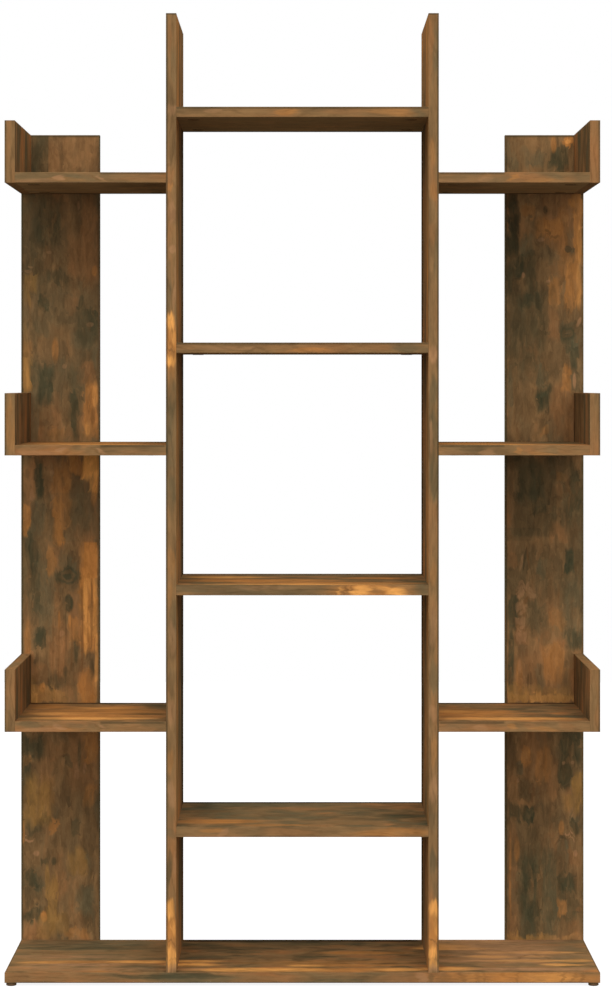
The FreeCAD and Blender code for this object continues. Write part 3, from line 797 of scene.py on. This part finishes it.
# Marks on a post are measured across from its middle.
LEFT_POST_STAINS = {
    # The walnut band across the post at 1154 mm, just under the top side shelf, is painted light that
    # lifts the shade there.
    "walnut": [(34, 286, 26, 70, 0.6), (0, 1154, 70, 9, 0.4)],
    "umber": [
        (-42, 82, 18, 10, 0.5), (8, 48, 7, 14, 0.7), (48, 180, 11, 26, 0.7), (25, 245, 26, 46, 0.45),
        (-42, 448, 9, 7, 0.7), (2, 490, 8, 8, 0.6), (10, 575, 26, 18, 0.6), (6, 505, 3, 14, 0.5),
        (-30, 540, 20, 30, 0.55), (8, 730, 14, 30, 0.5), (5, 862, 6, 24, 0.6), (-46, 985, 12, 70, 0.5),
        (46, 450, 13, 14, 0.8), (28, 950, 10, 34, 0.5), (-52, 1110, 6, 50, 0.6),
        (0, 1050, 110, 130, 0.5), (-10, 940, 80, 110, 0.6), (-10, 950, 50, 34, 0.5),
        (0, 985, 100, 50, 0.6), (-10, 868, 100, 40, 0.65), (-20, 150, 50, 66, 0.45),
        (16, 832, 34, 14, 0.45), (26, 444, 20, 22, 0.7), (45, 450, 14, 18, 0.75),
        (14, 420, 28, 12, 0.6), (-8, 182, 32, 26, 0.5), (-50, 262, 8, 30, 0.5), (-14, 956, 60, 70, 0.4),
        (30, 892, 20, 16, 0.55), (-50, 948, 8, 22, 0.5), (48, 490, 10, 14, 0.7),
        (-22, 920, 50, 26, 0.4)],
    "rust": [
        (-40, 30, 18, 14, 0.6), (0, 100, 14, 18, 0.5), (0, 308, 24, 16, 0.35), (46, 322, 13, 16, 0.5),
        (-32, 425, 13, 16, 0.6), (-4, 465, 14, 40, 0.6), (-54, 530, 5, 34, 0.6), (0, 612, 9, 13, 0.45),
        (-51, 722, 7, 30, 0.65), (-10, 830, 12, 34, 0.55), (38, 886, 14, 16, 0.5),
        (16, 990, 10, 12, 0.5), (28, 1048, 18, 12, 0.35), (32, 1076, 22, 26, 0.4),
        (44, 1136, 14, 24, 0.45), (22, 1226, 42, 40, 0.3), (46, 1075, 15, 66, 0.6),
        (34, 300, 26, 60, 0.55), (-26, 758, 24, 10, 0.4), (-50, 695, 10, 40, 0.6),
        (-2, 705, 14, 60, 0.6), (46, 705, 9, 22, 0.5), (20, 518, 11, 40, 0.55), (-50, 440, 8, 30, 0.6),
        (-10, 478, 20, 16, 0.5), (47, 690, 10, 20, 0.6), (-20, 250, 12, 30, 0.4)],
    "smoke": [
        (-32, 106, 9, 13, 0.7), (40, 82, 15, 24, 0.85), (6, 602, 10, 12, 0.6), (16, 592, 7, 8, 0.6),
        (36, 680, 18, 44, 0.6), (-34, 668, 12, 30, 0.7), (-40, 822, 9, 40, 0.75),
        (-22, 876, 10, 28, 0.7), (36, 940, 18, 16, 0.55), (-30, 960, 12, 14, 0.5),
        (-24, 868, 16, 40, 0.6), (0, 990, 90, 40, 0.4), (-26, 540, 18, 76, 0.65),
        (-14, 872, 50, 44, 0.4)],
    "soot": [
        (-42, 57, 18, 12, 0.75), (-47, 108, 13, 17, 0.8), (-24, 146, 8, 7, 0.55), (-10, 140, 4, 7, 0.6),
        (-40, 192, 12, 10, 0.5), (24, 190, 9, 14, 0.5), (-52, 272, 8, 24, 0.7), (-22, 205, 10, 8, 0.7),
        (10, 292, 7, 10, 0.5), (-38, 316, 20, 20, 0.8), (29, 305, 3, 26, 0.7), (-15, 404, 8, 22, 0.6),
        (8, 430, 4, 10, 0.6), (24, 470, 4, 34, 0.6), (-30, 482, 10, 18, 0.85), (12, 540, 6, 10, 0.9),
        (15, 534, 6, 13, 0.9), (12, 527, 5, 8, 0.8), (-42, 602, 8, 32, 0.8), (-33, 728, 9, 34, 0.9),
        (40, 715, 11, 14, 0.2), (-46, 628, 8, 10, 0.5), (23, 826, 9, 44, 0.85), (20, 868, 6, 16, 0.5),
        (-22, 866, 14, 36, 0.8), (-36, 1030, 22, 16, 0.45), (-22, 818, 11, 18, 0.35),
        (0, 730, 14, 22, 0.4), (-46, 512, 10, 16, 0.35), (-22, 420, 12, 14, 0.3),
        (2, 420, 12, 12, 0.35), (33, 542, 8, 16, 0.25), (-44, 945, 12, 26, 0.3), (-24, 994, 8, 14, 0.7),
        (-6, 1032, 24, 10, 0.6), (31, 992, 7, 12, 0.6), (50, 964, 8, 22, 0.75),
        (-18, 1118, 24, 44, 0.7), (-44, 1060, 20, 60, 0.5), (-46, 880, 11, 24, 0.6),
        (22, 850, 12, 56, 0.5), (-46, 572, 20, 70, 0.62), (-40, 104, 24, 30, 0.35),
        (42, 955, 18, 26, 0.5)],
    "amber": [
        (-25, 55, 6, 9, 0.8), (24, 28, 20, 9, 0.4), (-57, 185, 3, 22, 0.6), (-8, 195, 9, 10, 0.5),
        (-50, 292, 9, 4, 0.25, -20), (48, 300, 8, 10, 0.35), (-27, 404, 5, 8, 0.7),
        (42, 402, 15, 30, 0.8), (42, 488, 15, 24, 0.8), (-50, 480, 6, 34, 0.45),
        (43, 555, 16, 76, 0.95), (-14, 598, 7, 28, 0.5), (-2, 508, 2, 16, 0.7), (14, 506, 3, 12, 0.8),
        (46, 744, 17, 16, 0.85), (53, 708, 6, 26, 0.85, 6), (-2, 662, 11, 38, 0.95),
        (-2, 645, 6, 16, 0.5), (-52, 662, 7, 24, 0.75), (-52, 882, 8, 26, 0.45, -8),
        (46, 828, 12, 46, 0.65), (-5, 793, 14, 10, 0.3), (-52, 918, 8, 22, 0.25), (-8, 922, 6, 20, 0.5),
        (46, 302, 9, 14, 0.6), (52, 1043, 5, 9, 0.6), (22, 752, 10, 16, 0.7), (6, 700, 12, 60, 0.5),
        (20, 494, 10, 20, 0.45), (-2, 715, 12, 40, 0.4), (47, 320, 12, 28, 0.45),
        (46, 241, 10, 18, 0.4)],
    "honey": [
        (38, 480, 3, 30, 0.45), (55, 450, 3, 60, 0.4), (38, 535, 4, 50, 0.5), (54, 560, 4, 60, 0.35),
        (42, 580, 5, 34, 0.35), (-50, 880, 3, 20, 0.3), (53, 852, 5, 22, 0.3), (42, 800, 5, 12, 0.45),
        (48, 748, 14, 26, 0.95), (50, 722, 9, 18, 0.5), (48, 505, 11, 24, 0.4), (50, 746, 10, 16, 0.5),
        (-26, 392, 40, 14, 0.35), (-45, 389, 16, 8, 0.7), (52, 748, 8, 26, 0.5), (44, 744, 12, 10, 0.3)],
    "ochre": [
        (-12, 70, 9, 50, 0.8), (-20, 118, 4, 22, 0.6), (26, 138, 15, 20, 0.65),
        (-33, 235, 24, 40, 0.85), (-52, 1010, 5, 20, 0.35), (-53, 930, 4, 40, 0.3),
        (-48, 998, 3, 14, 0.6, -10), (0, 46, 16, 20, 0.6), (-50, 396, 16, 26, 0.4),
        (-44, 1020, 12, 16, 0.5), (-50, 884, 8, 30, 0.6), (-24, 36, 12, 18, 0.5)],
    "rose": [
        (-48, 176, 8, 2.5, 0.8, 3), (-37, 152, 5, 5, 0.85), (25, 276, 5, 15, 0.45),
        (37, 283, 2.5, 10, 0.5, 6), (2, 488, 5, 5, 0.5), (-44, 700, 4, 12, 0.4), (-13, 736, 4, 4, 0.5),
        (6, 897, 4, 4, 0.4), (-50, 1041, 6, 3, 0.3), (45, 960, 6, 4, 0.3), (-18, 1070, 5, 3, 0.3),
        (-25, 1066, 3, 6, 0.2), (-46, 1048, 5, 2, 0.3), (28, 1143, 2, 8, 0.5)],
    "line": [
        (33, 465, 2, 40, 0.7), (47, 500, 2, 40, 0.6), (48, 530, 2, 50, 0.75), (33, 530, 2, 36, 0.65),
        (48, 592, 5, 3, 0.7), (57, 582, 2, 6, 0.8), (50, 820, 4, 14, 0.6), (-2, 470, 2, 60, 0.5),
        (-11, 462, 2, 60, 0.45), (17, 474, 2, 50, 0.5)],
    "dot": [(48, 432, 4, 20, 0.5), (8, 466, 2, 64, 0.4)],
}
LEFT_POST_KNOTS = [(9, 577, 19, 12, 0.8)]
LEFT_POST_FIELDS = [
    (46, 600, 10, 28, "amber", 0.85), (-31, 1225, 13, 60, "soot", 0.55),
    (20, 666, 40, 38, "smoke", 0.22),
]
RIGHT_POST_STAINS = {
    "walnut": [
        (16, 486, 12, 16, 0.6), (-32, 830, 14, 46, 0.5), (-8, 916, 28, 14, 0.35),
        (-36, 1232, 20, 18, 0.5)],
    "umber": [
        (20, 652, 44, 20, 0.6), (22, 526, 14, 24, 0.6), (-6, 514, 26, 16, 0.5), (24, 600, 16, 34, 0.55),
        (-16, 598, 10, 22, 0.5), (-48, 150, 9, 26, 0.5), (-18, 612, 24, 16, 0.4),
        (-50, 306, 9, 24, 0.8), (-12, 214, 4, 10, 0.4), (30, 412, 6, 12, 0.5), (20, 598, 11, 30, 0.5),
        (-24, 500, 12, 16, 0.5), (30, 670, 20, 22, 0.6), (-30, 660, 20, 24, 0.7),
        (-52, 700, 6, 50, 0.6), (-11, 815, 6, 6, 0.7), (-30, 958, 24, 26, 0.75),
        (-18, 1034, 12, 20, 0.8), (-2, 1004, 12, 16, 0.5), (-34, 882, 22, 16, 0.6),
        (-12, 526, 22, 26, 0.75), (-24, 180, 12, 18, 0.6), (8, 1040, 10, 8, 0.5), (4, 905, 34, 50, 0.7),
        (-36, 872, 22, 60, 0.6), (-20, 960, 44, 90, 0.55), (-20, 170, 36, 46, 0.6),
        (0, 576, 100, 56, 0.85), (-10, 530, 24, 50, 0.6), (30, 540, 12, 40, 0.5),
        (10, 402, 44, 12, 0.45), (20, 140, 40, 20, 0.3), (36, 98, 26, 44, 0.6), (-46, 176, 8, 30, 0.4)],
    "rust": [
        (-48, 110, 8, 90, 0.45), (38, 36, 20, 13, 0.6), (52, 66, 5, 5, 0.7), (46, 148, 12, 12, 0.5),
        (8, 166, 14, 14, 0.5), (12, 265, 12, 34, 0.5), (24, 466, 12, 14, 0.4), (-32, 486, 14, 16, 0.5),
        (-48, 602, 9, 13, 0.6), (22, 640, 12, 10, 0.45), (24, 706, 12, 12, 0.35),
        (26, 836, 13, 34, 0.55), (16, 960, 9, 26, 0.5), (24, 1120, 34, 50, 0.6), (28, 815, 22, 36, 0.6),
        (-14, 422, 44, 50, 0.6), (-22, 250, 40, 24, 0.3), (-16, 306, 26, 44, 0.55),
        (24, 1140, 14, 14, 0.4), (34, 1200, 6, 8, 0.6)],
    "smoke": [
        (8, 90, 12, 80, 0.75), (-38, 285, 7, 14, 0.7), (48, 204, 10, 8, 0.6), (-7, 420, 8, 22, 0.55),
        (-3, 588, 8, 16, 0.6), (50, 540, 6, 20, 0.6), (-5, 880, 10, 16, 0.75), (-52, 850, 5, 50, 0.6),
        (-28, 1082, 12, 20, 0.8), (44, 520, 18, 60, 0.7), (10, 1064, 20, 14, 0.4),
        (-16, 1214, 20, 16, 0.75), (-50, 1210, 8, 16, 0.6)],
    "soot": [
        (-22, 95, 18, 74, 0.9), (-22, 30, 14, 16, 0.6), (-6, 112, 12, 24, 0.6), (32, 104, 17, 16, 0.85),
        (44, 56, 7, 11, 0.6), (48, 192, 9, 9, 0.65), (-44, 214, 9, 13, 0.7), (-34, 216, 19, 10, 0.6),
        (44, 705, 17, 52, 0.8), (16, 74, 46, 24, 0.45), (-25, 212, 9, 15, 0.95),
        (-30, 252, 10, 18, 0.5), (34, 274, 12, 24, 0.8), (36, 300, 15, 44, 0.8),
        (-51, 442, 6, 70, 0.85), (46, 482, 12, 18, 0.7), (-48, 524, 8, 28, 0.75),
        (39, 600, 9, 26, 0.95), (-12, 528, 16, 10, 0.45), (-20, 720, 22, 32, 0.75),
        (-8, 680, 12, 12, 0.6), (-3, 847, 12, 20, 0.95), (47, 908, 8, 18, 0.75),
        (-22, 996, 24, 18, 0.9), (-40, 1048, 12, 14, 0.9), (-52, 1030, 6, 30, 0.7),
        (-22, 1035, 12, 42, 0.6), (-12, 505, 22, 28, 0.35), (20, 665, 12, 14, 0.4),
        (-46, 150, 9, 20, 0.4), (-24, 180, 12, 16, 0.35), (0, 45, 28, 26, 0.3), (-24, 882, 36, 14, 0.3),
        (-2, 60, 12, 30, 0.5), (37, 946, 15, 12, 0.6), (38, 928, 12, 8, 0.5), (-48, 1112, 10, 52, 0.9),
        (-38, 1058, 9, 12, 0.8), (-26, 950, 32, 74, 0.6), (6, 78, 60, 34, 0.4), (0, 580, 110, 40, 0.3),
        (10, 42, 50, 17, 0.5), (46, 318, 11, 34, 0.85), (-6, 110, 26, 76, 0.55),
        (22, 1214, 16, 22, 0.85)],
    "amber": [
        (-52, 120, 2, 80, 0.4), (26, 68, 8, 14, 0.45), (26, 190, 5, 13, 0.6), (-42, 158, 5, 20, 0.45),
        (-28, 300, 7, 18, 0.65), (-38, 422, 6, 30, 0.5), (14, 442, 18, 30, 0.5), (22, 508, 14, 14, 0.3),
        (27, 731, 9, 10, 0.2), (34, 872, 8, 22, 0.5), (2, 798, 8, 8, 0.35), (15, 1008, 10, 24, 0.45),
        (44, 1022, 14, 42, 0.65), (-2, 286, 12, 28, 0.4), (-24, 1130, 11, 11, 0.35),
        (10, 1108, 24, 18, 0.6), (52, 1100, 8, 60, 0.7), (48, 1150, 9, 12, 0.7), (28, 1085, 9, 60, 0.3),
        (14, 1236, 5, 14, 0.5), (37, 1239, 9, 8, 0.95)],
    "honey": [
        (-36, 389, 24, 7, 0.4), (53, 1020, 5, 40, 0.3), (54, 1080, 4, 40, 0.3), (0, 390, 56, 8, 0.45),
        (0, 22, 60, 6, 0.15), (36, 1240, 5, 4, 0.6)],
    "ochre": [
        (-40, 398, 26, 14, 0.6), (10, 396, 40, 12, 0.4), (-30, 20, 40, 10, 0.5), (51, 248, 8, 34, 0.9),
        (40, 230, 14, 14, 0.6)],
    "rose": [
        (48, 153, 4, 6, 0.8), (36, 176, 12, 1.6, 0.7, -4), (-40, 263, 2.5, 4, 0.5),
        (30, 291, 3, 3, 0.6), (43, 291, 3, 3, 0.6), (-38, 438, 3, 14, 0.4), (-28, 558, 16, 4, 0.4),
        (-36, 546, 8, 9, 0.5), (-18, 549, 7, 8, 0.3), (-36, 528, 8, 6, 0.4), (-34, 520, 6, 3, 0.5, -30),
        (-35, 508, 8, 7, 0.45), (-33, 499, 6, 3, 0.5, -30), (-36, 486, 8, 10, 0.45),
        (-35, 596, 2.5, 14, 0.3, 12), (46, 874, 3, 14, 0.8), (6, 1026, 4, 3, 0.7),
        (-32, 1036, 3, 5, 0.6), (36, 947, 6, 1.6, 0.55), (53, 963, 3, 9, 0.7, 24),
        (-5, 1090, 6, 4, 0.5), (36, 1077, 6, 6, 0.4)],
    "line": [
        (-28, 538, 3, 9, 0.5, 26), (-31, 518, 3, 8, 0.4, -26), (-30, 496, 2.5, 7, 0.4, 26),
        (-25, 605, 2, 20, 0.5, -8), (37, 943, 6, 1.0, 0.5)],
    "dot": [
        (28, 169, 10, 3, 0.5), (-44, 752, 12, 20, 0.4), (-25, 417, 1.2, 14, 0.6),
        (-21, 417, 1.2, 14, 0.5), (-30, 600, 2, 22, 0.6, 10), (-22, 1003, 38, 13, 0.3),
        (2, 1137, 4, 8, 0.8), (10, 1098, 12, 3, 0.5, 10), (-46, 1130, 10, 64, 0.75),
        (-48, 1046, 11, 60, 0.55)],
}
RIGHT_POST_KNOTS = [(37, 946, 12, 10, 0.6), (36, 1077, 5, 5, 0.7)]
RIGHT_POST_FIELDS = [
    (-14, 697, 33, 62, "soot", 0.3), (18, 600, 13, 27, "umber", 0.25),
    (-36, 640, 22, 10, "soot", 0.2), (-28, 938, 32, 30, "dot", 0.2),
]
for side, stains, fields, knots in (
        ("left", LEFT_POST_STAINS, LEFT_POST_FIELDS, LEFT_POST_KNOTS),
        ("right", RIGHT_POST_STAINS, RIGHT_POST_FIELDS, RIGHT_POST_KNOTS)):
    node = f"back_post_{side}"
    sign = SIDE_SIGNS[side]
    centre = sign * POST_CENTRE
    wear(node, smoked_oak(
        f"oak_{node}", "post", 70.0 + sign * 3.0, moved(stains, centre),
        [(centre + across, *rest) for across, *rest in fields + POST_RIMS],
        [(centre + across, *rest) for across, *rest in knots], tone=0.53, contrast=0.65))
    wear(node + "_edge_band", smoked_oak(
        f"oak_{node}_band", "post", 90.0 + sign, tone=0.30, contrast=0.7))

# Post screws. Countersunk plated screws driven from behind through the posts into the back edges
# of the base and the side shelves.
wear("post_screws", plated_steel)

# Room. A pale floor, plain soft studio light from the front and above, and a camera level at the
# photograph's angle, 0.87 m above the floor and 4.04 m in front of the cabinet.
FLOOR_REACH = 4.0
FLOOR_GREY = (0.20, 0.20, 0.20, 1.0)
FLOOR_GLOW = 0.90
WORLD_WHITE = (1.0, 1.0, 1.0, 1.0)
WORLD_LIGHT = 0.98
DARK_BELOW = -0.15
LIGHT_ABOVE = 0.05


def direct_rays(tree):
    """One on rays that come straight from the camera or by way of gloss or glass, else zero."""
    rays = tree.nodes.new("ShaderNodeLightPath").outputs
    seen = Signal(rays["Is Camera Ray"])
    seen = seen.math("MAXIMUM", seen, Signal(rays["Is Glossy Ray"]))
    return seen.math("MAXIMUM", seen, Signal(rays["Is Transmission Ray"]))


floor_mesh = bpy.data.meshes.new("floor")
floor_corners = [(FLOOR_REACH * x, FLOOR_REACH * y, 0.0)
                 for x, y in ((-1, -1), (1, -1), (1, 1), (-1, 1))]
floor_mesh.from_pydata(floor_corners, [], [(0, 1, 2, 3)])
floor = bpy.data.objects.new("floor", floor_mesh)
bpy.context.scene.collection.objects.link(floor)
pale, shader, place = new_finish("pale_floor")
glow = direct_rays(pale.node_tree) * FLOOR_GLOW
glow.add("CombineColor", {}, {0: glow, 1: glow, 2: glow}).feeds(shader, "Emission Color")
shader.inputs["Base Color"].default_value = FLOOR_GREY
shader.inputs["Emission Strength"].default_value = 1.0
shader.inputs["Roughness"].default_value = 1.0
shader.inputs["Specular IOR Level"].default_value = 0.0
floor_mesh.materials.append(pale)

world = bpy.data.worlds.new("studio")
world.use_nodes = True
bpy.context.scene.world = world
background = world.node_tree.nodes["Background"]
background.inputs["Color"].default_value = WORLD_WHITE
way = Signal(world.node_tree.nodes.new("ShaderNodeTexCoord").outputs["Generated"])
dome = way.parts()[2].step(DARK_BELOW, LIGHT_ABOVE, WORLD_LIGHT)
(dome + direct_rays(world.node_tree) * (1.0 - dome)).feeds(background, "Strength")


def soft_lamp(name, place, aim, width, height, power):
    """A rectangular area lamp at a place, turned to shine at its aim."""
    data = bpy.data.lights.new(name, "AREA")
    data.shape = "RECTANGLE"
    data.size = width
    data.size_y = height
    data.energy = power
    lamp = bpy.data.objects.new(name, data)
    lamp.location = place
    way = np.array(aim) - np.array(place)
    lamp.rotation_euler = (np.arctan2(np.hypot(way[0], way[1]), -way[2]), 0.0,
                           np.arctan2(-way[0], way[1]))
    bpy.context.scene.collection.objects.link(lamp)


soft_lamp("low_light", (0.0, -8.0, 1.0), (0.0, 0.0, 0.9), width=10.0, height=2.0, power=105.0)
soft_lamp("front_light", (0.0, -6.5, 6.0), (0.0, 0.0, 0.8), width=8.0, height=4.0, power=330.0)
soft_lamp("top_light", (0.0, -1.2, 6.5), (0.0, 0.0, 0.8), width=5.0, height=5.0, power=75.0)

IMAGE_WIDTH = 612
IMAGE_HEIGHT = 1000
SENSOR = 36.0
FOCAL_PIXELS = 2796.5
EYE_DISTANCE = 4.0366
EYE_HEIGHT = 0.86846
PRINCIPAL = (302.38, 384.81)
camera_data = bpy.data.cameras.new("camera")
camera_data.sensor_width = SENSOR
camera_data.lens = FOCAL_PIXELS * SENSOR / IMAGE_HEIGHT
camera_data.shift_x = (IMAGE_WIDTH / 2 - PRINCIPAL[0]) / IMAGE_HEIGHT
camera_data.shift_y = (PRINCIPAL[1] - IMAGE_HEIGHT / 2) / IMAGE_HEIGHT
camera = bpy.data.objects.new("camera", camera_data)
camera.location = (0.0, cad_box[0][1] - EYE_DISTANCE, EYE_HEIGHT)
camera.rotation_euler = (np.pi / 2, 0.0, 0.0)
bpy.context.scene.collection.objects.link(camera)
bpy.context.scene.camera = camera
bpy.context.scene.view_settings.view_transform = "Standard"
